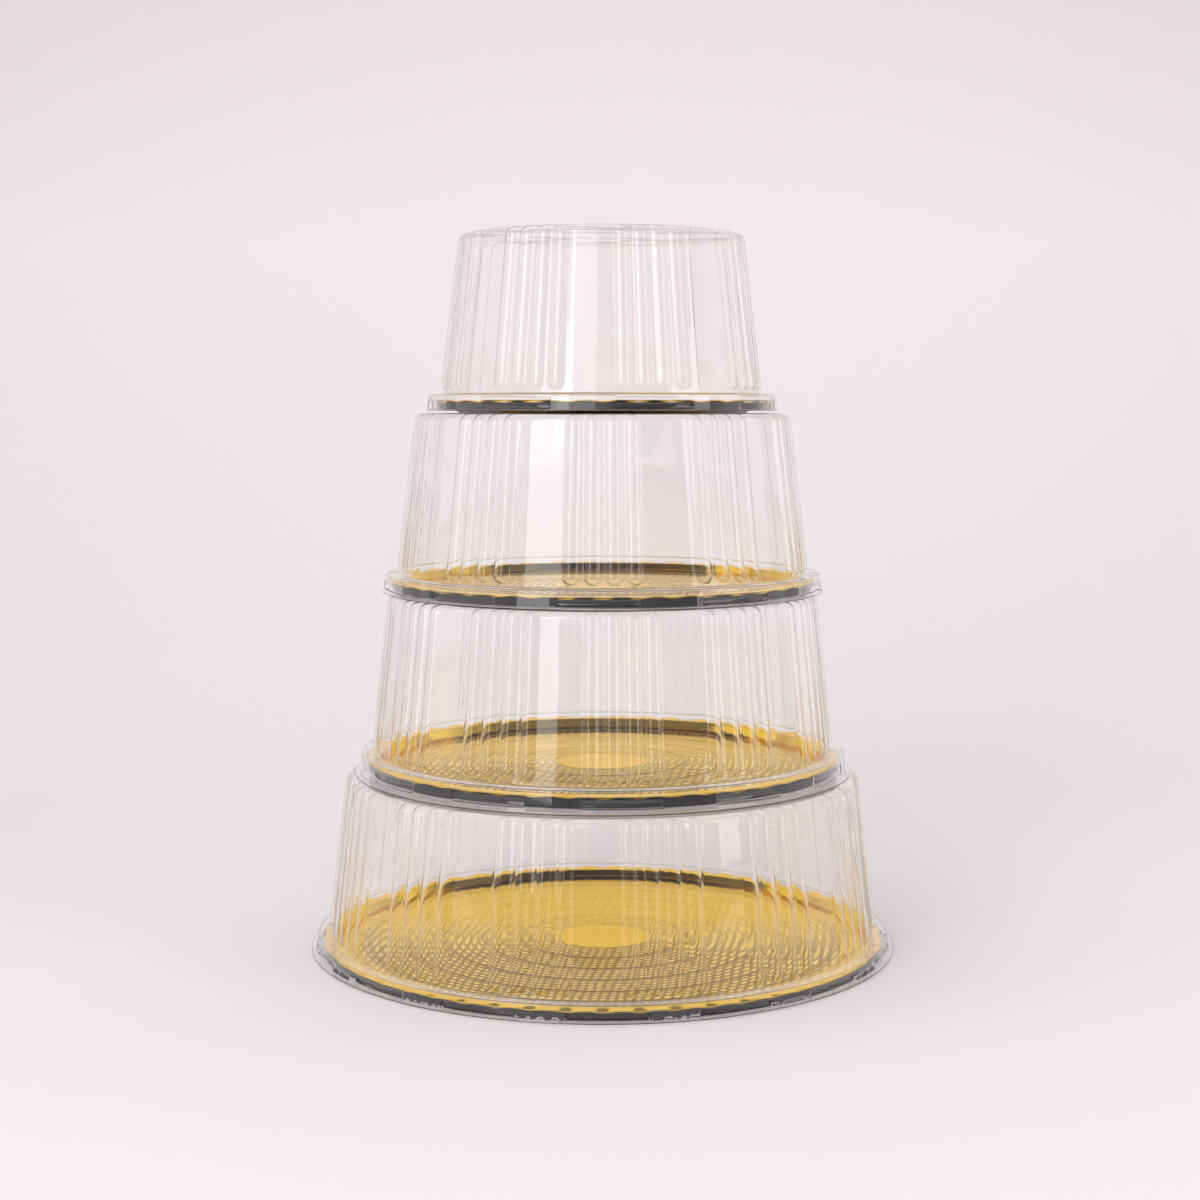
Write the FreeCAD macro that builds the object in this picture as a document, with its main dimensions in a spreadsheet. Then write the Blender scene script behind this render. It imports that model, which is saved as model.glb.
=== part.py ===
"""Stack of four round cake containers: black tray, gold board and clear ribbed dome in each tier.

Millimetres, +Z up, origin at the centre of the face that the lowest tray stands on.
"""
import FreeCAD, Part
import math
import os
import re

import Sketcher

Vector = FreeCAD.Vector

# ---------------------------------------------------------------- driving dimensions
SHARED = {
    "dome_sheet": 0.6,          # thickness of the clear sheet
    "tray_sheet": 0.8,          # thickness of the black sheet
    "board_sheet": 0.6,         # thickness of the gold board
    "rim_drop": 3.7,            # from the top of the dome's flange down to the board's rim
    "flange_width": 8.2,        # from the foot of the dome's wall to the edge of its flange
    "top_round": 4.5,           # rounding between the wall and the top
    "skirt_flare": 1.0,         # how far the skirt spreads on its way down
    "lip_lift": 1.0,            # the dome's lip hangs this far above the tray's foot
    "rib_round": 4.7,           # radius of a rib's section
    "rib_proud": 2.2,           # how far a rib stands out of the wall
    "rib_end_gap": 6.0,         # from the flange up the wall to the centre of a rib's lower end
    "rib_top_gap": 0.4,         # from the top face down to the highest point of a rib
    "ribs_in_group": 4,
    "window_length": 42.0,      # catch pocket in the skirt, along the arc
    "window_depth": 1.6,        # from the flange's edge in to the pocket's floor
    "board_inset": 2.8,         # from the flange's edge in to the edge of the board
    "notch_depth": 1.0,         # how far each notch in the board's wavy edge reaches in
    "notch_half": 5.5,          # half its width, taken 1 outside the tips
    "well_inset": 2.2,          # from the foot of the dome's wall in to the top of the board's side
    "well_slant": 1.8,          # how far that side leans in on its way down
    "ring_step": 21.5,          # pitch of the board's pressed rings
    "ring_width": 1.2,
    "ring_depth": 0.25,
    "hub_radius": 25.0,         # plain disc in the middle of the board
    "foot_ratio": 0.80,         # middle radius of the tray's foot ring over the board's radius
    "foot_width": 9.0,          # flat floor of the foot ring's channel
    "foot_slant": 3.0,          # how far each side of the channel leans
}

# One line per tier, from the bottom up. Angles are in degrees about +Z, from -Y towards +X.
TIERS = [
    {"size": "12in", "height": 99.0, "foot_radius": 153.2, "wall_run": 10.6, "flange_top": 9.6,
     "dish_depth": 3.7, "lip_flare": 3.6, "groups": 14, "rib_step": 4.4, "first_group": 11.8,
     "windows": 15, "first_window": 1.0, "notches": 54},
    {"size": "10in", "height": 102.0, "foot_radius": 128.0, "wall_run": 9.8, "flange_top": 13.4,
     "dish_depth": 4.8, "lip_flare": 3.5, "groups": 12, "rib_step": 5.0, "first_group": 4.7,
     "windows": 12, "first_window": 4.3, "notches": 46},
    {"size": "9in", "height": 100.0, "foot_radius": 113.5, "wall_run": 11.0, "flange_top": 11.0,
     "dish_depth": 3.7, "lip_flare": 2.0, "groups": 10, "rib_step": 5.6, "first_group": 0.0,
     "windows": 10, "first_window": -1.3, "notches": 40},
    {"size": "7in", "height": 98.0, "foot_radius": 88.5, "wall_run": 11.0, "flange_top": 10.3,
     "dish_depth": 3.7, "lip_flare": 1.6, "groups": 8, "rib_step": 7.3, "first_group": 18.0,
     "windows": 8, "first_window": 16.3, "notches": 32},
]

# ---------------------------------------------------------------- worked out on the sheet
SHARED_FORMULAS = {
    "rib_inset": "rib_round - rib_proud",
    "notch_round": "(notch_half * notch_half + (notch_depth + 1) * (notch_depth + 1))"
                   " / (2 * (notch_depth + 1))",
}
TIER_FORMULAS = {
    "flange_radius": "foot_radius + flange_width",
    "lip_radius": "flange_radius + lip_flare",
    "board_radius": "flange_radius - board_inset",
    "window_radius": "flange_radius - window_depth",
    "rim_top": "flange_top - rim_drop",
    "rim_under": "rim_top - board_sheet",
    "floor_top": "rim_under - dish_depth",
    "floor_under": "floor_top - tray_sheet",
    "window_low": "floor_under + 1",
    "window_high": "rim_top - 0.3",
    "wall_rise": "height - flange_top",
    "wall_long": "sqrt(wall_rise * wall_rise + wall_run * wall_run)",
    "wall_sin": "wall_run / wall_long",
    "wall_cos": "wall_rise / wall_long",
    "corner_ratio": "(1 - wall_sin) / wall_cos",
    "rib_high": "(height - rib_top_gap - rib_round - flange_top + rib_inset * wall_sin) / wall_cos",
    "well_high": "foot_radius - well_inset",
    "well_low": "well_high - well_slant",
    "well_ratio": "(sqrt(well_slant * well_slant + dish_depth * dish_depth) - well_slant) / dish_depth",
    "foot_middle": "board_radius * foot_ratio",
    "foot_ratio_in": "(sqrt(foot_slant * foot_slant + floor_under * floor_under) - foot_slant)"
                     " / floor_under",
    "edge_radius": "board_radius - notch_depth",
}
WORD = re.compile(r"[a-z]\w*")


def sheet_rows():
    """Every cell of the sheet: alias and content, in order."""
    rows = dict(SHARED)
    for key, formula in SHARED_FORMULAS.items():
        rows[key] = "=" + formula
    own = set(TIER_FORMULAS).union(TIERS[0])
    level = "0"
    for tier in TIERS:
        ending = "_" + tier["size"]
        for key, content in tier.items():
            if key != "size":
                rows[key + ending] = content
        rows["level" + ending] = "=" + level
        level = "level%s + height%s" % (ending, ending)
        for key, formula in TIER_FORMULAS.items():
            rows[key + ending] = "=" + WORD.sub(
                lambda word: word[0] + ending if word[0] in own else word[0], formula)
    return rows


class Model:
    """The document, its sheet, and helpers for features whose sizes follow the sheet."""

    def __init__(self):
        self.doc = FreeCAD.newDocument("cake_container_stack")
        self.sheet = self.doc.addObject("Spreadsheet::Sheet", "sizes")
        rows = sheet_rows()
        self.aliases = set(rows)
        self.size = ""
        for row, (alias, content) in enumerate(rows.items(), start=1):
            self.sheet.set("A%d" % row, alias)
            self.sheet.set("B%d" % row, str(content))
            self.sheet.setAlias("B%d" % row, alias)
        self.doc.recompute()

    def spelled(self, expression, prefix=""):
        """An expression with the sheet's full aliases, of the tier that is being built."""
        def on_sheet(word):
            for alias in (word[0], word[0] + "_" + self.size):
                if alias in self.aliases:
                    return prefix + alias
            return word[0]
        return WORD.sub(on_sheet, expression)

    def bind(self, item, path, expression):
        """Tie a property to an expression in the sheet's aliases."""
        item.setExpression(path, self.spelled(expression, "sizes."))

    def value(self, expression):
        """An expression's number now."""
        return float(self.sheet.evalExpression(self.spelled(expression)))

    def body(self, name, level="0"):
        """A new body of the tier that is being built, whose own z=0 is at a level."""
        body = self.doc.addObject("PartDesign::Body", name + "_" + self.size)
        body.Label = body.Name
        self.bind(body, "Placement.Base.z", level)
        return body

    def origin(self, body, role):
        """One of the body's own origin planes or axes."""
        return [item for item in body.Origin.OriginFeatures if item.Role == role][0]

    def sketch(self, body, name, role, turn="0"):
        """An empty sketch on an origin plane, turned about the plane's own upright axis."""
        sketch = body.newObject("Sketcher::SketchObject", name)
        sketch.AttachmentSupport = [(self.origin(body, role), "")]
        sketch.MapMode = "FlatFace"
        if turn != "0":
            sketch.AttachmentOffset = FreeCAD.Placement(Vector(), FreeCAD.Rotation(Vector(0, 1, 0), 1))
            self.bind(sketch, "AttachmentOffset.Rotation.Angle", turn)
        return sketch

    def outline(self, sketch, corners, arcs=None):
        """Add a closed loop of edges through corners, each an (x, y) pair of expressions.

        arcs maps an edge's number to its radius, for an edge that bulges to its right.
        """
        arcs = arcs or {}
        points = [Vector(self.value(x), self.value(y), 0) for x, y in corners]
        first = sketch.GeometryCount
        edges = []
        rules = []
        bound = []
        for number, start in enumerate(points):
            end = points[(number + 1) % len(points)]
            if number in arcs:
                radius = self.value(arcs[number])
                edges.append(arc_between(start, end, radius))
                bound.append((len(rules), arcs[number]))
                rules.append(Sketcher.Constraint("Radius", first + number, radius))
            else:
                edges.append(Part.LineSegment(start, end))
            following = first + (number + 1) % len(points)
            rules.append(Sketcher.Constraint("Coincident", first + number, 2, following, 1))
            for text, kind, axis, here in ((corners[number][0], "DistanceX", -2, start.x),
                                           (corners[number][1], "DistanceY", -1, start.y)):
                if text == "0":
                    rules.append(Sketcher.Constraint("PointOnObject", first + number, 1, axis))
                    continue
                bound.append((len(rules), text))
                rules.append(Sketcher.Constraint(kind, -1, 1, first + number, 1, here))
        before = sketch.ConstraintCount
        sketch.addGeometry(edges, False)
        sketch.addConstraint(rules)
        for number, text in bound:
            self.bind(sketch, "Constraints[%d]" % (before + number), text)

    def turned(self, body, kind, sketch, axis, degrees="360"):
        """A Revolution or Groove of a sketch, half to each side of the sketch's plane."""
        feature = body.newObject("PartDesign::" + kind, kind.lower())
        feature.Profile = sketch
        feature.ReferenceAxis = (sketch, [axis])
        feature.Midplane = True
        self.bind(feature, "Angle", degrees)
        return feature

    def pattern(self, body, count, step):
        """A polar pattern about +Z of count copies, each step degrees on from the last."""
        pattern = body.newObject("PartDesign::PolarPattern", "pattern")
        pattern.Axis = (self.origin(body, "Z_Axis"), [""])
        pattern.Mode = "Spacing"
        self.bind(pattern, "Occurrences", count)
        self.bind(pattern, "Offset", step)
        return pattern

    def check(self):
        """Stop if any object failed to compute."""
        self.doc.recompute()
        for item in self.doc.Objects:
            if "Invalid" in item.State or "Error" in item.State:
                raise RuntimeError("%s failed: %s" % (item.Name, item.State))


def arc_between(start, end, radius):
    """The short arc that runs anticlockwise from start to end."""
    chord = end - start
    to_centre = Vector(-chord.y, chord.x, 0).normalize()
    centre = (start + end) * 0.5 + to_centre * math.sqrt(radius ** 2 - chord.Length ** 2 / 4)
    first, last = (math.atan2(point.y - centre.y, point.x - centre.x) for point in (start, end))
    return Part.ArcOfCircle(Part.Circle(centre, Vector(0, 0, 1), radius), first, last)


# ---------------------------------------------------------------- the pieces
def make_tray(model):
    """Black tray: a shallow dish on a foot ring, with a flat rim turned down round its edge."""
    body = model.body("tray", "level")
    section = model.sketch(body, "section", "XZ_Plane")
    inner, outer = ("foot_middle %s foot_width / 2" % sign for sign in "-+")
    model.outline(section, [
        ("0", "floor_under"),
        (inner + " - foot_slant - tray_sheet * foot_ratio_in", "floor_under"),
        (inner + " - tray_sheet * foot_ratio_in", "0"),
        (outer + " + tray_sheet * foot_ratio_in", "0"),
        (outer + " + foot_slant + tray_sheet * foot_ratio_in", "floor_under"),
        ("well_low + tray_sheet * well_ratio", "floor_under"),
        ("well_high + tray_sheet * well_ratio", "rim_under - tray_sheet"),
        ("edge_radius - tray_sheet", "rim_under - tray_sheet"),
        ("edge_radius - tray_sheet", "floor_under"),
        ("edge_radius", "floor_under"),
        ("edge_radius", "rim_under"),
        ("well_high", "rim_under"),
        ("well_low", "floor_top"),
        (outer + " + foot_slant", "floor_top"),
        (outer, "tray_sheet"),
        (inner, "tray_sheet"),
        (inner + " - foot_slant", "floor_top"),
        ("0", "floor_top"),
    ])
    model.turned(body, "Revolution", section, "V_Axis")
    return body


def make_board(model):
    """Gold board: a shallow dish with a flat wavy-edged rim and pressed rings round a plain hub."""
    body = model.body("board", "level")
    count = math.ceil((model.value("well_low") - model.value("hub_radius")) / model.value("ring_step"))
    rings = []
    for number in range(count):
        radius = "hub_radius + %d * ring_step" % number
        rings.append((radius, "floor_top + board_sheet"))
        rings.append((radius, "floor_top + board_sheet - ring_depth"))
        rings.append((radius + " + ring_width", "floor_top + board_sheet - ring_depth"))
        rings.append((radius + " + ring_width", "floor_top + board_sheet"))
    section = model.sketch(body, "section", "XZ_Plane")
    model.outline(section, [
        ("0", "floor_top + board_sheet"),
        ("0", "floor_top"),
        ("well_low", "floor_top"),
        ("well_high", "rim_under"),
        ("board_radius", "rim_under"),
        ("board_radius", "rim_top"),
        ("well_high - board_sheet * well_ratio", "rim_top"),
        ("well_low - board_sheet * well_ratio", "floor_top + board_sheet"),
    ] + rings[::-1])
    model.turned(body, "Revolution", section, "V_Axis")

    notch = model.sketch(body, "notch", "XY_Plane")
    model.bind(notch, "AttachmentOffset.Base.z", "rim_top")
    model.outline(notch, [
        ("board_radius + 1", "-1 * notch_half"),
        ("board_radius + 1", "notch_half"),
    ], {1: "notch_round"})
    cut = body.newObject("PartDesign::Pocket", "cut")
    cut.Profile = notch
    model.bind(cut, "Length", "2 * board_sheet")
    cuts = model.pattern(body, "notches", "360 / notches")
    cuts.Originals = [cut]
    body.Tip = cuts
    return body


def dome_form(model, name, skin):
    """A dome as a solid lump, drawn in from its outer face by skin.

    The outer form has the lip; the inner form, which is the hollow, runs out through the bottom.
    """
    body = model.body(name)
    if skin == "0":
        bottom = [
            ("0", "lip_lift"),
            ("lip_radius", "lip_lift"),
            ("lip_radius", "lip_lift + dome_sheet"),
            ("flange_radius + skirt_flare", "lip_lift + dome_sheet"),
        ]
    else:
        bottom = [("0", "0"), ("flange_radius + skirt_flare - " + skin, "0")]
    corner = "foot_radius - wall_run - (%s) * corner_ratio" % skin
    tangent = "(top_round - (%s)) * corner_ratio" % skin
    section = model.sketch(body, "section", "XZ_Plane")
    model.outline(section, bottom + [
        ("flange_radius - (%s)" % skin, "flange_top - (%s)" % skin),
        ("foot_radius - (%s) * corner_ratio" % skin, "flange_top - (%s)" % skin),
        ("%s + %s * wall_sin" % (corner, tangent), "height - (%s) - %s * wall_cos" % (skin, tangent)),
        ("%s - %s" % (corner, tangent), "height - (%s)" % skin),
        ("0", "height - (%s)" % skin),
    ], {len(bottom) + 2: "top_round - (%s)" % skin})
    model.turned(body, "Revolution", section, "V_Axis")

    window = model.sketch(body, "window", "XZ_Plane", "first_window - 90")
    model.outline(window, [
        ("window_radius - (%s)" % skin, "window_low - (%s)" % skin),
        ("lip_radius + 1", "window_low - (%s)" % skin),
        ("lip_radius + 1", "window_high + (%s)" % skin),
        ("window_radius - (%s)" % skin, "window_high + (%s)" % skin),
    ])
    pocket = model.turned(body, "Groove", window, "V_Axis",
                          "(window_length + 2 * (%s)) / flange_radius * 180 / pi" % skin)
    pockets = model.pattern(body, "windows", "360 / windows")
    pockets.Originals = [pocket]
    body.Tip = pockets

    capsule = model.sketch(body, "rib", "XZ_Plane",
                           "first_group - 90 - rib_step * (ribs_in_group - 1) / 2")
    centre = ("foot_radius - (%s) * wall_sin - rib_inset * wall_cos",
              "flange_top + (%s) * wall_cos - rib_inset * wall_sin")
    low = [text % "rib_end_gap" for text in centre]
    high = [text % "rib_high" for text in centre]
    round_ = "(rib_round - (%s))" % skin
    model.outline(capsule, [
        ("%s + %s * wall_sin" % (low[0], round_), "%s - %s * wall_cos" % (low[1], round_)),
        ("%s + %s * wall_cos" % (low[0], round_), "%s + %s * wall_sin" % (low[1], round_)),
        ("%s + %s * wall_cos" % (high[0], round_), "%s + %s * wall_sin" % (high[1], round_)),
        ("%s - %s * wall_sin" % (high[0], round_), "%s + %s * wall_cos" % (high[1], round_)),
    ], {0: round_, 2: round_})
    rib = model.turned(body, "Revolution", capsule, "Edge4")
    ribs = body.newObject("PartDesign::MultiTransform", "ribs")
    ribs.Originals = [rib]
    ribs.Transformations = [
        model.pattern(body, "ribs_in_group", "rib_step"),
        model.pattern(body, "groups", "360 / groups"),
    ]
    body.Tip = ribs
    return body


def make_dome(model):
    """Clear dome: one sheet of even thickness, ribbed in groups, with a flange, a skirt and a lip."""
    dome = model.doc.addObject("Part::Cut", "dome_" + model.size)
    dome.Label = dome.Name
    dome.Base = dome_form(model, "outer_form", "0")
    dome.Tool = dome_form(model, "inner_form", "dome_sheet")
    model.bind(dome, "Placement.Base.z", "level")
    return dome


def main():
    """Build every piece, check it, and write it to its own file."""
    model = Model()
    pieces = []
    for tier in TIERS:
        model.size = tier["size"]
        for make in (make_tray, make_board, make_dome):
            pieces.append(make(model))
    model.check()
    for piece in pieces:
        shape = piece.Shape
        if shape.isNull() or not shape.isValid() or len(shape.Solids) != 1:
            raise RuntimeError(piece.Label + " is not one valid solid")
    os.makedirs("parts", exist_ok=True)
    for piece in pieces:
        piece.Shape.exportStep("parts/%s.step" % piece.Label)
        print("%s %.1f mm3" % (piece.Label, piece.Shape.Volume))


main()
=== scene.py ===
"""How the stack of cake containers looks: clear ribbed domes, gold boards and black trays.

Lengths are millimetres until a mesh is made. Angles are degrees about +Z, from -Y towards +X.
"""

import math

import bpy
import numpy as np
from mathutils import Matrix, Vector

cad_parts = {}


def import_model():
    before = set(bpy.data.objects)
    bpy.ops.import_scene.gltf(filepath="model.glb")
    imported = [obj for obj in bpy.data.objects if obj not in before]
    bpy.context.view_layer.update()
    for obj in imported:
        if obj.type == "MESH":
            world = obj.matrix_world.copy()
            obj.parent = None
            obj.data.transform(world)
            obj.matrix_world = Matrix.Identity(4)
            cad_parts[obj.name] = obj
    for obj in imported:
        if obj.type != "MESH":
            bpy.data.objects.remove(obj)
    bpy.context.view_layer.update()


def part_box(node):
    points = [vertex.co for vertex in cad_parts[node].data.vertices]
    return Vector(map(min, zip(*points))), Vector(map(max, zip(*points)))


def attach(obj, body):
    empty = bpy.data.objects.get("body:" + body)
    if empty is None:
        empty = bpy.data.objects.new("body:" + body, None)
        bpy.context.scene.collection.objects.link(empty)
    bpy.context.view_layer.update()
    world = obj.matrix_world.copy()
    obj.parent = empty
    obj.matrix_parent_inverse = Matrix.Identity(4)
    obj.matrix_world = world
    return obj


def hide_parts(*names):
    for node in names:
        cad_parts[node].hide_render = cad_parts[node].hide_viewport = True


MM = 0.001

# ---------------------------------------------------------------- sizes shared by every tier
LIP_SHEET = 0.6             # the domes' real sheet, as at their lips
DOME_SHEET = 0.3            # thinner than the real sheet, so that the ribs bend less of what is behind
TRAY_SHEET = 0.8
BOARD_SHEET = 0.6
RIM_DROP = 3.7              # from the top of a dome's flange down to the board's rim
BOARD_INSET = 2.8           # from the flange's edge in to the edge of the board
FLANGE_WIDTH = 8.2          # from the foot of the dome's wall out to the flange's edge
SKIRT_FLARE = 1.0           # how far the skirt leans out on its way down
TOP_ROUND = 4.5             # between a dome's wall and its top
FOLD_ROUND = 0.8            # of the dome's other folds
LIP_ROUND = 0.4
RIB_ROUND = 4.7             # radius of a rib's section
RIB_PROUD = 2.2             # how far a rib stands out of the wall
RIB_END_GAP = 6.0           # from the flange up to the centre of a rib's lower end
RIB_TOP_GAP = 0.4           # from a rib's highest point up to the dome's top
RIB_BLEND = 0.9             # softness where a rib meets the wall
NO_RIB = -9.0               # stands for the height of a rib where there is none
RIB_COLUMNS = [0, 1.2, 2.3, 3.2, 3.8, 4.3, 4.9]     # from a rib's middle out to columns of the mesh
RIBS_IN_GROUP = 4
POCKET_LENGTH = 42.0        # of the catch pockets pressed into the skirt
POCKET_DEPTH = 1.6
POCKET_LOW = 1.0            # from the underside of the tray's floor up to a pocket's lower edge
POCKET_HIGH = 0.3           # from the board's rim down to its upper edge
POCKET_BLEND = 0.4          # softness of a pocket's edges
POCKET_EDGE = [-0.5, -0.17, 0.17, 0.5]              # rows or columns of the mesh across such an edge
WIDEST_COLUMN = 1.6         # degrees between columns of a dome's mesh
NARROWEST_COLUMN = 0.06
WELL_INSET = 2.2            # from the foot of the dome's wall in to the top of the board's side
WELL_SLANT = 1.8            # of the board's side, from its foot out to its top
HUB_RADIUS = 25.0           # of the board's plain middle
RING_STEP = 21.5            # from one pressed ring to the next
RING_WIDTH = 1.2
RING_WALL = 0.35            # width of each of a ring's slanting sides
RING_DEPTH = 0.12
RING_ROUND = 0.25
DASH_PITCH = 4.6            # from one slanting line of dashes to the next
DASH_LEAN = 8.0             # of those lines, from +Y towards +X
DASH_ROWS = 5               # rows of dashes from one ring to the next
PRESSED_GAP = 1.0           # from the dashes out to the foot of the board's side
NOTCH_DEPTH = 1.0           # of the board's wavy edge
NOTCH_LIFT = 0.8            # how far the rim rises and falls with it
NOTCH_RISE = 0.45           # of that, how much is above the rim
NOTCH_SHARPNESS = 1.5       # above 1, a notch is narrower than the tooth beside it
NOTCH_COLUMNS = 12          # columns of the mesh for each notch
FOOT_RATIO = 0.80           # radius of the tray's foot ring over the board's
FOOT_WIDTH = 9.0
FOOT_SLANT = 3.0
TRAY_ROUND = 0.4
TRAY_LIP_ROUND = 0.25       # of the edge's lower end
TRAY_GUARD = 0.6            # from a bend to the row of the mesh that keeps its shading to itself
TRAY_COLUMN = 1.5           # degrees between columns of a tray's mesh

# ---------------------------------------------------------------- studio, in metres, degrees and watts
CAMERA_PLACE = (-0.0014, -1.138, 0.3053)
CAMERA_DIP = 5.5
CAMERA_LENS = 60.75
SWEEP_HALF_WIDTH = 4.0
SWEEP_FRONT = -0.8
SWEEP_BACK = 1.6
SWEEP_CURVE = 1.2
SWEEP_TOP = 4.0
SWEEP_STEPS = 16
BOUNCES = 28                # enough for light to pass all the walls in its way
LIGHTS = [
    {"name": "left_box", "place": (-0.85, -1.36, 0.68), "aim": (0, 0, 0.3), "size": (0.62, 1.3), "power": 9},
    {"name": "right_box", "place": (1.38, -0.8, 0.68), "aim": (0, 0, 0.3), "size": (0.67, 1.3), "power": 7},
    {"name": "upper_box", "place": (-0.45, -1.5, 0.86), "aim": (0, 0, 0.35), "size": (0.7, 0.48), "power": 2},
    {"name": "top_box", "place": (0, 0.3, 2.0), "aim": (0, 0.3, 0), "size": (2.0, 1.6), "power": 8.5},
]
LIGHT_TINT = (1, 0.985, 0.98)

# ---------------------------------------------------------------- the tiers, from the bottom up
TIERS = [
    {"size": "12in", "wall_run": 10.6, "groups": 14, "rib_step": 4.4, "first_group": 11.8,
     "pockets": 15, "first_pocket": 1.0, "notches": 54},
    {"size": "10in", "wall_run": 9.8, "groups": 12, "rib_step": 5.0, "first_group": 4.7,
     "pockets": 12, "first_pocket": 4.3, "notches": 46},
    {"size": "9in", "wall_run": 11.0, "groups": 10, "rib_step": 5.6, "first_group": 0.0,
     "pockets": 10, "first_pocket": -1.3, "notches": 40},
    {"size": "7in", "wall_run": 11.0, "groups": 8, "rib_step": 7.3, "first_group": 18.0,
     "pockets": 8, "first_pocket": 16.3, "notches": 32},
]


class Tier:
    """One tier's sizes, read from the frame's boxes and the shared sizes."""

    def __init__(self, size, wall_run, groups, rib_step, first_group, pockets, first_pocket, notches):
        self.size = size
        self.wall_run = wall_run            # how far a dome's wall leans in over its height
        self.groups = groups
        self.rib_step = rib_step            # degrees between the ribs of a group
        self.first_group = first_group      # degrees to the middle of one group
        self.pockets = pockets
        self.first_pocket = first_pocket    # degrees to the middle of one catch pocket
        self.notches = notches
        tray, board, dome = (self.box(kind) for kind in ("tray", "board", "dome"))
        self.foot = tray[0][2]
        self.floor_top = board[0][2]
        self.floor_under = self.floor_top - TRAY_SHEET
        self.rim_top = board[1][2]
        self.rim_under = self.rim_top - BOARD_SHEET
        self.board_radius = board[1][0]
        self.edge_radius = self.board_radius - NOTCH_DEPTH
        self.flange_radius = self.board_radius + BOARD_INSET
        self.foot_radius = self.flange_radius - FLANGE_WIDTH
        self.flange_top = self.rim_top + RIM_DROP
        self.lip_radius = dome[1][0]
        self.lip_under = dome[0][2]
        self.top = dome[1][2]
        self.pocket_radius = self.flange_radius - POCKET_DEPTH
        self.pocket_low = self.floor_under + POCKET_LOW
        self.pocket_high = self.rim_top - POCKET_HIGH
        self.well_high = self.foot_radius - WELL_INSET
        self.well_low = self.well_high - WELL_SLANT

    def box(self, kind):
        """A node's lowest and highest corners, in millimetres."""
        return [[value / MM for value in corner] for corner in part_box(kind + "_" + self.size)]


# ---------------------------------------------------------------- meshes
class Corner:
    """A corner of a section: its radius and height, its rounding, and the steps that round it.

    cuts are where the run after it is divided, as distances from its start, or from its end when negative.
    """

    def __init__(self, radius, height, rounding=0.1, steps=3, cuts=()):
        self.at = np.array([radius, height], float)
        self.rounding = rounding
        self.steps = steps
        self.cuts = cuts


def left_of(way):
    """A direction turned a quarter turn to the left."""
    return np.array([-way[1], way[0]])


def rounded_path(corners):
    """Points and left-hand normals along straight runs between rounded corners."""
    runs = [after.at - before.at for before, after in zip(corners, corners[1:])]
    lengths = [np.linalg.norm(run) for run in runs]
    ways = [run / length for run, length in zip(runs, lengths)]
    points = [corners[0].at]
    headings = [ways[0]]
    for number, way in enumerate(ways):
        for cut in corners[number].cuts:
            far = cut if cut >= 0 else lengths[number] + cut
            points.append(corners[number].at + way * far)
            headings.append(way)
        corner = corners[number + 1]
        if corner is corners[-1]:
            points.append(corner.at)
            headings.append(way)
            break
        onward = ways[number + 1]
        turn = math.atan2(left_of(way) @ onward, way @ onward)
        side = math.copysign(1, turn)
        start = corner.at - way * corner.rounding * math.tan(abs(turn) / 2)
        centre = start + side * corner.rounding * left_of(way)
        for step in range(corner.steps + 1):
            angle = turn * step / corner.steps
            heading = way * math.cos(angle) + left_of(way) * math.sin(angle)
            points.append(centre - side * corner.rounding * left_of(heading))
            headings.append(heading)
    return np.array(points), np.array([left_of(heading) for heading in headings])


def spun(radius, height, angles):
    """Points (rows, columns, 3) of rows turned about Z. radius and height are (rows, columns)."""
    turn = np.radians(angles)[None, :]
    return np.stack([radius * np.sin(turn), -radius * np.cos(turn), height + 0 * turn], 2)


def skin_mesh(name, grid, material, attributes=None):
    """A closed piece from rows of points, whose first and last rows are single points on the axis."""
    rows, columns = grid.shape[:2]
    middle = grid[1:-1].reshape(-1, 3)
    points = np.concatenate([grid[0, :1], middle, grid[-1, :1]]) * MM
    faces = []
    ring = [1 + row * columns for row in range(rows - 2)]
    last = len(points) - 1
    for column in range(columns):
        after = (column + 1) % columns
        faces.append((0, ring[0] + column, ring[0] + after))
        for here, below in zip(ring, ring[1:]):
            faces.append((here + column, below + column, below + after, here + after))
        faces.append((ring[-1] + column, last, ring[-1] + after))
    mesh = bpy.data.meshes.new(name)
    mesh.from_pydata(points.tolist(), [], faces)
    mesh.shade_smooth()
    for key, rowwise in (attributes or {}).items():
        values = np.concatenate([rowwise[:1], np.repeat(rowwise[1:-1], columns), rowwise[-1:]])
        mesh.attributes.new(key, "FLOAT", "POINT").data.foreach_set("value", values.astype("f"))
    mesh.materials.append(material)
    piece = bpy.data.objects.new(name, mesh)
    bpy.context.scene.collection.objects.link(piece)
    return piece


def balanced(before, after):
    """Tangents between two steps, weighted so that uneven steps don't bend them."""
    first = np.linalg.norm(before, axis=2, keepdims=True) + 1e-9
    second = np.linalg.norm(after, axis=2, keepdims=True) + 1e-9
    return before * (second / first) + after * (first / second)


def grid_normals(grid):
    """Outward normals of a grid of points whose first row is one point on the axis."""
    outward = np.diff(grid, axis=0)
    along = balanced(outward[:-1], outward[1:])
    along = np.concatenate([outward[:1], along, outward[-1:]])
    around = balanced(grid - np.roll(grid, 1, axis=1), np.roll(grid, -1, axis=1) - grid)
    normals = np.cross(along, around)
    normals[0] = (0, 0, 1)
    return normals / np.linalg.norm(normals, axis=2, keepdims=True)


def soft_step(value, width):
    """0 below -width, 1 above width, smooth between."""
    part = np.clip(value / width / 2 + 0.5, 0, 1)
    return part * part * (3 - 2 * part)


def nearest(angles, centres):
    """Signed degrees from the nearest of some centres to each angle."""
    apart = (angles[:, None] - centres[None, :] + 180) % 360 - 180
    return np.take_along_axis(apart, np.abs(apart).argmin(1)[:, None], 1)[:, 0]


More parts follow.
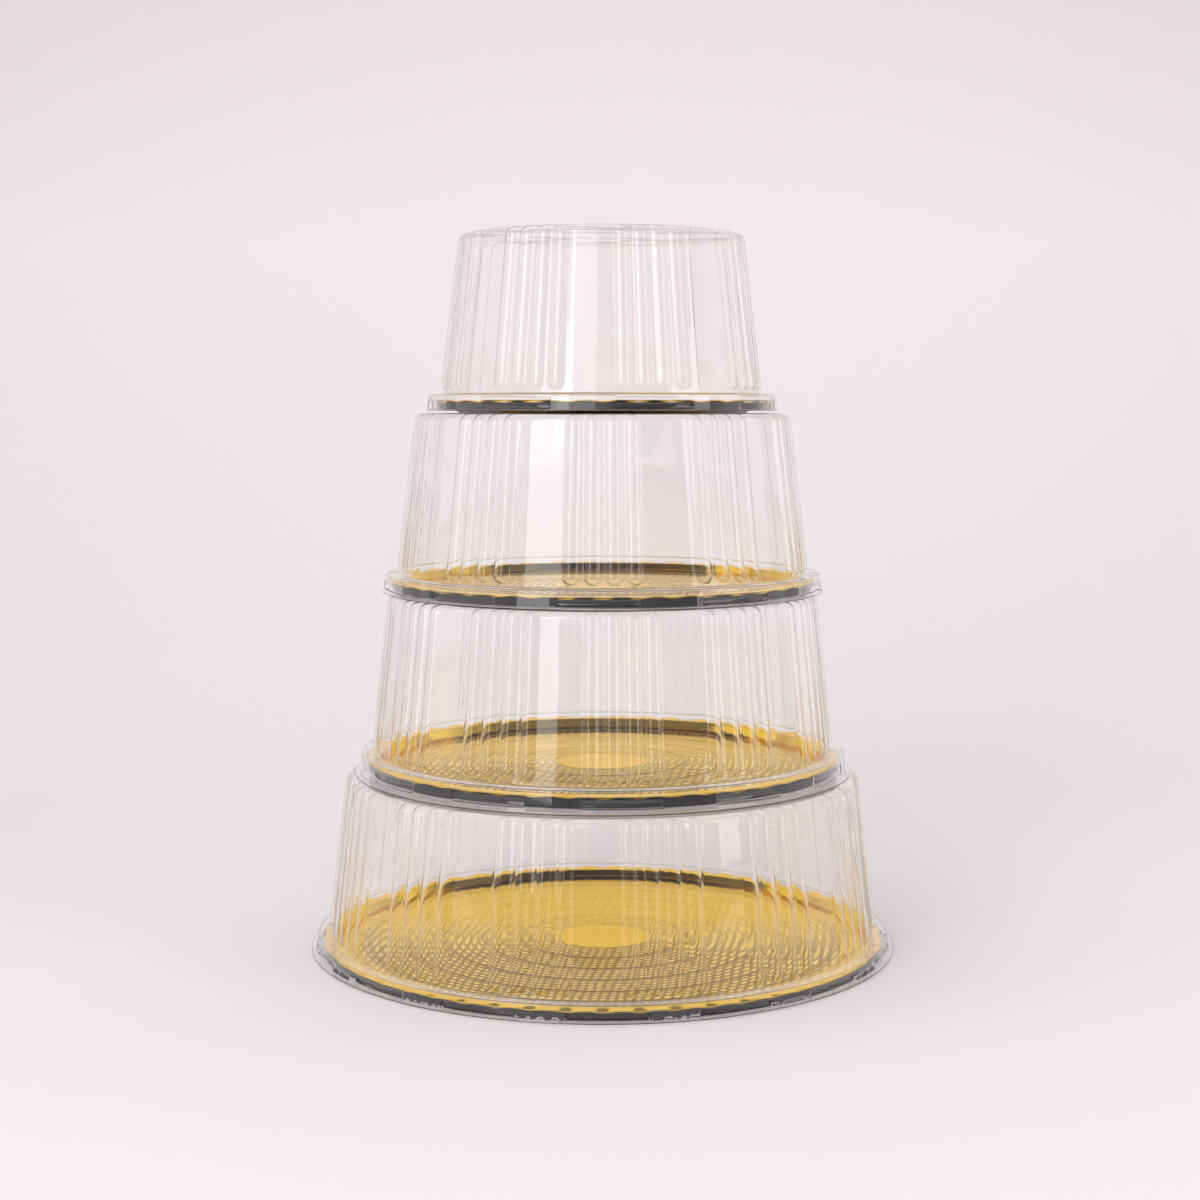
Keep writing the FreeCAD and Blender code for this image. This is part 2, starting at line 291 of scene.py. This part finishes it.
# ---------------------------------------------------------------- domes
def rib_angles(tier):
    """Where each rib stands."""
    groups = tier.first_group + np.arange(tier.groups) * 360 / tier.groups
    within = (np.arange(RIBS_IN_GROUP) - (RIBS_IN_GROUP - 1) / 2) * tier.rib_step
    return (groups[:, None] + within[None, :]).ravel()


def pocket_angles(tier):
    """Where each catch pocket is centred."""
    return tier.first_pocket + np.arange(tier.pockets) * 360 / tier.pockets


def dome_columns(tier):
    """Angles of the mesh's columns: close together over ribs and pocket ends, wide apart between."""
    rib = np.degrees(np.array(RIB_COLUMNS) / (tier.foot_radius - tier.wall_run / 2))
    ribs = (rib_angles(tier)[:, None] + np.concatenate([-rib[:0:-1], rib])[None, :]).ravel()
    half = math.degrees(POCKET_LENGTH / 2 / tier.flange_radius)
    ends = np.concatenate([pocket_angles(tier) - half, pocket_angles(tier) + half])
    end = np.degrees(np.array(POCKET_EDGE) / tier.flange_radius)
    ends = (ends[:, None] + end[None, :]).ravel()
    angles = np.sort(np.concatenate([ribs, ends]) % 360)
    keep = [angles[0]]
    for angle in angles[1:]:
        if angle - keep[-1] > NARROWEST_COLUMN:
            keep.append(angle)
    filled = []
    for angle, after in zip(keep, keep[1:] + [keep[0] + 360]):
        parts = math.ceil((after - angle) / WIDEST_COLUMN)
        filled.extend(angle + (after - angle) * np.arange(parts) / parts)
    return np.array(filled)


def rib_height(points, normals, tier, angles):
    """How far along its normal each point of the plain dome is from the ribs' surface.

    A rib is a cylinder that leans with the wall, with a ball at each end. The way out of one from a point
    is the greater root of a * reach ** 2 + 2 * b * reach + c = 0.
    """
    rise = tier.top - tier.flange_top
    long = math.hypot(rise, tier.wall_run)
    lean_in, lean_up = tier.wall_run / long, rise / long
    inset = RIB_ROUND - RIB_PROUD
    highest = (rise - RIB_TOP_GAP - RIB_ROUND + inset * lean_in) / lean_up
    ends = [np.array([0, tier.foot_radius - far * lean_in - inset * lean_up,
                      tier.flange_top + far * lean_up - inset * lean_in]) for far in (RIB_END_GAP, highest)]
    axis = (ends[1] - ends[0]) / np.linalg.norm(ends[1] - ends[0])
    aside = np.radians(nearest(angles, rib_angles(tier)))[None, :]
    radius, height = points[:, :1], points[:, 1:]
    from_low = np.stack([radius * np.sin(aside), radius * np.cos(aside) - ends[0][1],
                         height - ends[0][2] + 0 * aside], 2)
    way = np.stack([normals[:, :1] * np.sin(aside), normals[:, :1] * np.cos(aside),
                    normals[:, 1:] + 0 * aside], 2)
    from_high = from_low + ends[0] - ends[1]
    far = np.full(from_low.shape[:2], NO_RIB)
    for from_end, is_cylinder in ((from_low, True), (from_low, False), (from_high, False)):
        start = from_end - (from_end @ axis)[..., None] * axis if is_cylinder else from_end
        step = way - (way @ axis)[..., None] * axis if is_cylinder else way
        a = (step * step).sum(2)
        b = (start * step).sum(2)
        c = (start * start).sum(2) - RIB_ROUND ** 2
        inside = b * b - a * c
        reach = (-b + np.sqrt(np.maximum(inside, 0))) / np.maximum(a, 1e-9)
        hit = (inside > 0) & ((c < 0) | (b > 0))
        if is_cylinder:
            along = (from_end + way * reach[..., None]) @ axis
            hit &= (from_end @ axis > 0) & (along < np.linalg.norm(ends[1] - ends[0]))
        far = np.where(hit, np.maximum(far, reach), far)
    return np.maximum(far, 0) + np.maximum(RIB_BLEND - np.abs(far), 0) ** 2 / (4 * RIB_BLEND)


def make_dome(tier, material):
    """The clear dome: a sheet of even thickness, formed over ribs and catch pockets."""
    lip_top = tier.lip_under + LIP_SHEET
    drop = tier.flange_top - lip_top
    edges = [tier.flange_top - edge + at for edge in (tier.pocket_high, tier.pocket_low)
             for at in POCKET_EDGE]
    edges = [at for at in edges if FOLD_ROUND < at < drop - LIP_ROUND]
    # Rows are close together where the ribs end, and beside each bend they keep its shading to itself.
    rib_ends = [-at for at in np.arange(10.8, 0.8, -0.45)]
    corners = [Corner(0, tier.top, cuts=[20, 45, -12, -6, -4.4]),
               Corner(tier.foot_radius - tier.wall_run, tier.top, TOP_ROUND, 10,
                      [5, 6, 8, 30, 60, -14] + rib_ends),
               Corner(tier.foot_radius, tier.flange_top, FOLD_ROUND, 3, [1.0, -1.2]),
               Corner(tier.flange_radius, tier.flange_top, FOLD_ROUND, 4, sorted(edges + [1.2, drop - 0.7])),
               Corner(tier.flange_radius + SKIRT_FLARE, lip_top, LIP_ROUND, 2, [0.7, -0.3]),
               Corner(tier.lip_radius, lip_top)]
    points, normals = rounded_path(corners)
    angles = dome_columns(tier)
    lift = rib_height(points, normals, tier, angles)
    on_skirt = (points[:, 1] < tier.flange_top - FOLD_ROUND) & (points[:, 1] > lip_top + LIP_ROUND / 2)
    aside = nearest(angles, pocket_angles(tier)) * math.radians(1) * tier.flange_radius
    across = soft_step(POCKET_LENGTH / 2 - np.abs(aside), POCKET_BLEND)
    upright = soft_step(points[:, 1] - tier.pocket_low, POCKET_BLEND)
    upright = upright * soft_step(tier.pocket_high - points[:, 1], POCKET_BLEND) * on_skirt
    press = (points[:, 0] - tier.pocket_radius)[:, None] * upright[:, None] * across[None, :]
    move = lift - press
    radius = points[:, :1] + move * normals[:, :1]
    height = np.minimum(points[:, 1:] + move * normals[:, 1:], tier.top)
    outer = spun(radius, height, angles)
    inner = outer - grid_normals(outer) * DOME_SHEET
    inner[0] = outer[0] - np.array([0, 0, DOME_SHEET])
    piece = skin_mesh("clear_dome_" + tier.size, np.concatenate([outer, inner[::-1]]), material)
    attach(piece, "lid_" + tier.size)
    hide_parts("dome_" + tier.size)


# ---------------------------------------------------------------- boards and trays
def well_ratio(deep):
    """How far the side's other face shifts, over the sheet's thickness."""
    return (math.hypot(WELL_SLANT, deep) - WELL_SLANT) / deep


def make_board(tier, material):
    """The gold board: a dish with pressed rings and a wavy rim."""
    face = tier.floor_top + BOARD_SHEET
    shift = BOARD_SHEET * well_ratio(tier.rim_top - face)
    corners = [Corner(0, face, cuts=[-0.5])]
    for number in range(math.ceil((tier.well_low - HUB_RADIUS) / RING_STEP)):
        start = HUB_RADIUS + number * RING_STEP
        corners += [Corner(start, face, RING_ROUND, 1),
                    Corner(start + RING_WALL, face - RING_DEPTH, RING_ROUND, 1),
                    Corner(start + RING_WIDTH - RING_WALL, face - RING_DEPTH, RING_ROUND, 1),
                    Corner(start + RING_WIDTH, face, RING_ROUND, 1, [0.5, -0.5])]
    corners += [Corner(tier.well_low - shift, face, 0.3, 4, [0.5, -0.7]),
                Corner(tier.well_high - shift, tier.rim_top, 0.5, 4, [0.8, 2, 4, -0.6]),
                Corner(tier.board_radius, tier.rim_top, 0.2),
                Corner(tier.board_radius, tier.rim_under, 0.2, cuts=[0.5, -0.7]),
                Corner(tier.well_high, tier.rim_under, 0.3, cuts=[0.6, -0.6]),
                Corner(tier.well_low, tier.floor_top, 0.4, cuts=[0.7]),
                Corner(0, tier.floor_top)]
    points, _ = rounded_path(corners)
    angles = np.arange(0, 360, 360 / (tier.notches * NOTCH_COLUMNS))
    phase = np.radians(angles * tier.notches)
    wave = (0.5 + 0.5 * np.cos(phase)) ** NOTCH_SHARPNESS
    on_rim = np.clip((points[:, 0] - tier.well_high) / (tier.board_radius - tier.well_high), 0, 1)
    radius = points[:, :1] - NOTCH_DEPTH * wave[None, :] * on_rim[:, None] ** 2
    height = points[:, 1:] + (NOTCH_RISE - NOTCH_LIFT * wave[None, :]) * on_rim[:, None] ** 2
    pressed_to = tier.well_low - shift - PRESSED_GAP
    pressed = (points[:, 0] < pressed_to) & (points[:, 0] > HUB_RADIUS + RING_WIDTH)
    piece = skin_mesh("gold_board_" + tier.size, spun(radius, height, angles), material,
                      {"pressed": pressed.astype(float)})
    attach(piece, "base_" + tier.size)
    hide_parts("board_" + tier.size)


def fold(radius, height):
    """A corner of a tray's section."""
    return Corner(radius, height, TRAY_ROUND, cuts=[TRAY_GUARD, -TRAY_GUARD])


def make_tray(tier, material):
    """The black tray: a dish on a foot ring, with its rim turned down round the edge."""
    deep = tier.rim_under - tier.floor_top
    shift = TRAY_SHEET * well_ratio(deep)
    middle = tier.board_radius * FOOT_RATIO
    inner, outer = middle - FOOT_WIDTH / 2, middle + FOOT_WIDTH / 2
    under = tier.floor_under - tier.foot
    bend = TRAY_SHEET * (math.hypot(FOOT_SLANT, under) - FOOT_SLANT) / under
    edge_inside = tier.edge_radius - TRAY_SHEET
    corners = [Corner(0, tier.floor_top, cuts=[-TRAY_GUARD]),
               fold(inner - FOOT_SLANT, tier.floor_top),
               fold(inner, tier.foot + TRAY_SHEET),
               fold(outer, tier.foot + TRAY_SHEET),
               fold(outer + FOOT_SLANT, tier.floor_top),
               fold(tier.well_low, tier.floor_top),
               fold(tier.well_high, tier.rim_under),
               Corner(tier.edge_radius, tier.rim_under, 0.7, 5, [0.9, -0.5]),
               Corner(tier.edge_radius, tier.floor_under, TRAY_LIP_ROUND),
               Corner(edge_inside, tier.floor_under, TRAY_LIP_ROUND, cuts=[TRAY_GUARD, -TRAY_GUARD]),
               fold(edge_inside, tier.rim_under - TRAY_SHEET),
               fold(tier.well_high + shift, tier.rim_under - TRAY_SHEET),
               fold(tier.well_low + shift, tier.floor_under),
               fold(outer + FOOT_SLANT + bend, tier.floor_under),
               fold(outer + bend, tier.foot),
               fold(inner - bend, tier.foot),
               Corner(inner - FOOT_SLANT - bend, tier.floor_under, TRAY_ROUND, cuts=[TRAY_GUARD]),
               Corner(0, tier.floor_under)]
    points, _ = rounded_path(corners)
    angles = np.arange(0, 360, TRAY_COLUMN)
    grid = spun(points[:, :1] + 0 * angles[None, :], points[:, 1:], angles)
    piece = skin_mesh("black_tray_" + tier.size, grid, material)
    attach(piece, "base_" + tier.size)
    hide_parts("tray_" + tier.size)


# ---------------------------------------------------------------- materials
class Nodes:
    """Short calls for making a material's or a world's nodes."""

    def __init__(self, tree):
        self.tree = tree
        tree.nodes.clear()

    def add(self, kind, settings=None, **inputs):
        """A node of a kind, with settings of its own and values or links for its inputs.

        An input is given by its name with _ for spaces, or as i and its number.
        """
        node = self.tree.nodes.new("ShaderNode" + kind)
        for key, value in (settings or {}).items():
            setattr(node, key, value)
        for key, value in inputs.items():
            by_number = key[0] == "i" and key[1:].isdigit()
            socket = node.inputs[int(key[1:]) if by_number else key.replace("_", " ")]
            if isinstance(value, bpy.types.NodeSocket):
                self.tree.links.new(value, socket)
            else:
                socket.default_value = value
        return node

    def math(self, operation, *values):
        """The result of one sum."""
        node = self.add("Math", {"operation": operation},
                        **{"i%d" % number: value for number, value in enumerate(values)})
        return node.outputs[0]

    def noise(self, place, scale, detail=2.0):
        """A noise pattern's value."""
        return self.add("TexNoise", Vector=place, Scale=scale, Detail=detail).outputs["Fac"]

    def ramp(self, value, low, high, to_low=0.0, to_high=1.0):
        """A value carried from one range to another, and held at its ends."""
        node = self.add("MapRange", {"clamp": True}, Value=value)
        for key, number in (("From Min", low), ("From Max", high), ("To Min", to_low), ("To Max", to_high)):
            node.inputs[key].default_value = number
        return node.outputs[0]

    def mix(self, share, low, high):
        """Two colours mixed."""
        node = self.add("Mix", {"data_type": "RGBA"})
        for number, value in ((0, share), (6, low), (7, high)):
            if isinstance(value, bpy.types.NodeSocket):
                self.tree.links.new(value, node.inputs[number])
            else:
                node.inputs[number].default_value = value
        return node.outputs[2]

    def bump(self, height, strength, distance):
        """A normal bent by a height."""
        node = self.add("Bump", Height=height, Strength=strength, Distance=distance)
        return node.outputs[0]


def new_material(name):
    """An empty material and its nodes."""
    material = bpy.data.materials.new(name)
    material.use_nodes = True
    return material, Nodes(material.node_tree)


def clear_plastic():
    """Thin clear sheet: glossy, with the faint unevenness of formed plastic."""
    material, nodes = new_material("clear_formed_sheet")
    place = nodes.add("TexCoord").outputs["Object"]
    uneven = nodes.noise(place, 28.0, 1.0)
    haze = nodes.ramp(nodes.noise(place, 90.0, 4.0), 0.35, 0.75, 0.015, 0.05)
    glass = nodes.add("BsdfPrincipled", Roughness=haze, Normal=nodes.bump(uneven, 0.12, 0.002))
    glass.inputs["Base Color"].default_value = (0.992, 0.986, 0.985, 1)
    glass.inputs["Transmission Weight"].default_value = 1.0
    glass.inputs["IOR"].default_value = 1.52
    through = nodes.add("BsdfTransparent", Color=(0.93, 0.92, 0.92, 1))
    shadow = nodes.add("LightPath").outputs["Is Shadow Ray"]
    mixed = nodes.add("MixShader", i0=shadow, i1=glass.outputs[0], i2=through.outputs[0])
    nodes.add("OutputMaterial", Surface=mixed.outputs[0])
    return material


def gold_film():
    """Gold metallised film, plain in the middle, with rings of slanting dashes pressed round it, painted
    shade in the dashes and rings, and a painted highlight on the pressed part.
    """
    material, nodes = new_material("gold_pressed_film")
    place = nodes.add("TexCoord").outputs["Object"]
    split = nodes.add("SeparateXYZ", Vector=place)
    east, north = split.outputs[0], split.outputs[1]
    radius = nodes.math("SQRT", nodes.math("ADD", nodes.math("MULTIPLY", east, east),
                                           nodes.math("MULTIPLY", north, north)))
    ring = nodes.math("DIVIDE", nodes.math("SUBTRACT", radius, HUB_RADIUS * MM), RING_STEP * MM)
    within = nodes.math("FRACT", ring)
    lean = math.radians(DASH_LEAN)
    across = nodes.math("SUBTRACT", nodes.math("MULTIPLY", east, math.cos(lean)),
                        nodes.math("MULTIPLY", north, math.sin(lean)))
    across = nodes.math("ADD", across, nodes.math("MULTIPLY", nodes.noise(place, 35.0), 0.004))
    line = nodes.math("SINE", nodes.math("MULTIPLY", across, 2 * math.pi / (DASH_PITCH * MM)))
    row = nodes.math("SINE", nodes.math("MULTIPLY", within, 2 * math.pi * DASH_ROWS))
    dash = nodes.math("MULTIPLY", nodes.ramp(line, -0.75, 0.35), nodes.ramp(row, -0.95, -0.35))
    pressed = nodes.add("Attribute", {"attribute_name": "pressed"}).outputs["Fac"]
    # Painted light: the pressed part's painted shade, its painted highlight and its bump all fade towards the
    # far side, as the light falls there. The real board is pressed alike all round.
    pressing_and_light_fade = nodes.math("MULTIPLY", pressed, nodes.ramp(north, 0.05, -0.04, 0.12, 1.0))
    hollow_and_shade = nodes.math("MULTIPLY", nodes.math("SUBTRACT", 1.0, dash), pressing_and_light_fade)
    groove_shade = nodes.math("MULTIPLY", nodes.ramp(within, 0.075, 0.055), pressing_and_light_fade)
    grain = nodes.noise(place, 900.0, 3.0)
    crease = nodes.noise(place, 22.0, 2.0)
    height = nodes.math("SUBTRACT", nodes.math("MULTIPLY", crease, 0.4), hollow_and_shade)
    height = nodes.math("ADD", height, nodes.math("MULTIPLY", grain, 0.02))
    colour = nodes.mix(nodes.ramp(crease, 0.3, 0.7), (0.93, 0.60, 0.05, 1), (0.96, 0.67, 0.08, 1))
    # Painted highlight: the pressed part is paler and pinker, as where it reflects the pale surroundings.
    colour = nodes.mix(nodes.math("MULTIPLY", pressing_and_light_fade, 0.6), colour, (0.96, 0.74, 0.32, 1))
    # Painted shade: the gaps between the dashes are darkened to brown.
    colour = nodes.mix(nodes.math("MULTIPLY", hollow_and_shade, 0.92), colour, (0.22, 0.11, 0.03, 1))
    # Painted shade: the rings' grooves are darkened.
    colour = nodes.mix(nodes.math("MULTIPLY", groove_shade, 0.7), colour, (0.14, 0.07, 0.02, 1))
    film = nodes.add("BsdfPrincipled", Metallic=1.0, Roughness=nodes.ramp(grain, 0.3, 0.7, 0.07, 0.13),
                     Normal=nodes.bump(height, 0.8, 0.0004))
    film.inputs["Specular Tint"].default_value = (1.0, 0.88, 0.52, 1)
    nodes.tree.links.new(colour, film.inputs["Base Color"])
    nodes.add("OutputMaterial", Surface=film.outputs[0])
    return material


def black_plastic():
    """Black formed sheet, glossy with a faint orange-peel."""
    material, nodes = new_material("black_formed_sheet")
    place = nodes.add("TexCoord").outputs["Object"]
    peel = nodes.noise(place, 260.0, 3.0)
    dust = nodes.noise(place, 1400.0, 2.0)
    colour = nodes.mix(nodes.ramp(dust, 0.62, 0.74), (0.010, 0.010, 0.011, 1), (0.05, 0.05, 0.052, 1))
    sheet = nodes.add("BsdfPrincipled", Roughness=nodes.ramp(peel, 0.3, 0.7, 0.10, 0.20),
                      Normal=nodes.bump(peel, 0.25, 0.0004))
    sheet.inputs["Specular IOR Level"].default_value = 0.2
    nodes.tree.links.new(colour, sheet.inputs["Base Color"])
    nodes.add("OutputMaterial", Surface=sheet.outputs[0])
    return material


# ---------------------------------------------------------------- studio
def make_sweep():
    """A pale floor that curves up into a backdrop."""
    flat = SWEEP_BACK - SWEEP_CURVE
    line = [(SWEEP_FRONT, 0.0), (0.0, 0.0), (flat, 0.0)]
    for step in range(1, SWEEP_STEPS + 1):
        angle = math.radians(90 * step / SWEEP_STEPS)
        line.append((flat + SWEEP_CURVE * math.sin(angle), SWEEP_CURVE - SWEEP_CURVE * math.cos(angle)))
    line.append((SWEEP_BACK, SWEEP_TOP))
    points = [(x, y, z) for y, z in line for x in (-SWEEP_HALF_WIDTH, SWEEP_HALF_WIDTH)]
    faces = [(2 * i, 2 * i + 1, 2 * i + 3, 2 * i + 2) for i in range(len(line) - 1)]
    mesh = bpy.data.meshes.new("sweep")
    mesh.from_pydata(points, [], faces)
    mesh.shade_smooth()
    material, nodes = new_material("pale_paper")
    place = nodes.add("TexCoord").outputs["Object"]
    tint = nodes.mix(nodes.noise(place, 1.5), (0.84, 0.82, 0.825, 1), (0.86, 0.84, 0.845, 1))
    height = nodes.add("SeparateXYZ", Vector=place).outputs[2]
    # Painted light: the backdrop is painted lighter up to half a metre, then darker again higher up.
    tint = nodes.mix(nodes.ramp(height, 0.0, 0.5), tint, (0.93, 0.90, 0.91, 1))
    tint = nodes.mix(nodes.ramp(height, 0.5, 0.85), tint, (0.86, 0.825, 0.84, 1))
    paper = nodes.add("BsdfPrincipled", Roughness=0.9)
    nodes.tree.links.new(tint, paper.inputs["Base Color"])
    nodes.add("OutputMaterial", Surface=paper.outputs[0])
    mesh.materials.append(material)
    sweep = bpy.data.objects.new("sweep", mesh)
    bpy.context.scene.collection.objects.link(sweep)


def make_light(name, place, aim, size, power):
    """A rectangular soft light that faces a point. The camera sees it only in reflections."""
    light = bpy.data.lights.new(name, "AREA")
    light.shape = "RECTANGLE"
    light.size, light.size_y = size
    light.energy = power
    light.color = LIGHT_TINT
    holder = bpy.data.objects.new(name, light)
    holder.location = place
    way = Vector(aim) - Vector(place)
    holder.rotation_euler = way.to_track_quat("-Z", "Y").to_euler()
    holder.visible_camera = False
    holder.visible_transmission = False
    bpy.context.scene.collection.objects.link(holder)


def make_world():
    """Pale surroundings, dimmer low in front and above and to the right of the camera."""
    world = bpy.data.worlds.new("studio")
    world.use_nodes = True
    nodes = Nodes(world.node_tree)
    place = nodes.add("TexCoord").outputs["Generated"]
    split = nodes.add("SeparateXYZ", Vector=place)
    low = nodes.math("MULTIPLY", nodes.ramp(split.outputs[1], -0.3, -0.7),
                     nodes.ramp(split.outputs[2], 0.22, 0.0))
    toward = nodes.add("VectorMath", {"operation": "DOT_PRODUCT"}, i0=place)
    toward.inputs[1].default_value = (0.50, -0.50, 0.71)
    patch = nodes.ramp(toward.outputs["Value"], 0.62, 0.82)
    colour = nodes.mix(low, (0.96, 0.915, 0.93, 1), (0.38, 0.365, 0.37, 1))
    colour = nodes.mix(patch, colour, (0.36, 0.345, 0.35, 1))
    sky = nodes.add("Background", Strength=1.0)
    nodes.tree.links.new(colour, sky.inputs["Color"])
    nodes.add("OutputWorld", Surface=sky.outputs[0])
    bpy.context.scene.world = world


def make_camera():
    """A camera a little above the stack's middle, tilted slightly down."""
    camera = bpy.data.cameras.new("camera")
    camera.lens = CAMERA_LENS
    camera.sensor_width = 36.0
    holder = bpy.data.objects.new("camera", camera)
    holder.location = CAMERA_PLACE
    holder.rotation_euler = (math.radians(90 - CAMERA_DIP), 0, 0)
    bpy.context.scene.collection.objects.link(holder)
    bpy.context.scene.camera = holder


def main():
    """Build everything round the frame."""
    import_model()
    clear, gold, black = clear_plastic(), gold_film(), black_plastic()
    for values in TIERS:
        tier = Tier(**values)
        make_tray(tier, black)
        make_board(tier, gold)
        make_dome(tier, clear)
    make_sweep()
    make_world()
    for light in LIGHTS:
        make_light(**light)
    make_camera()
    cycles = bpy.context.scene.cycles
    cycles.max_bounces = BOUNCES
    cycles.transmission_bounces = BOUNCES
    cycles.transparent_max_bounces = BOUNCES
    bpy.context.scene.view_settings.view_transform = "Standard"


main()
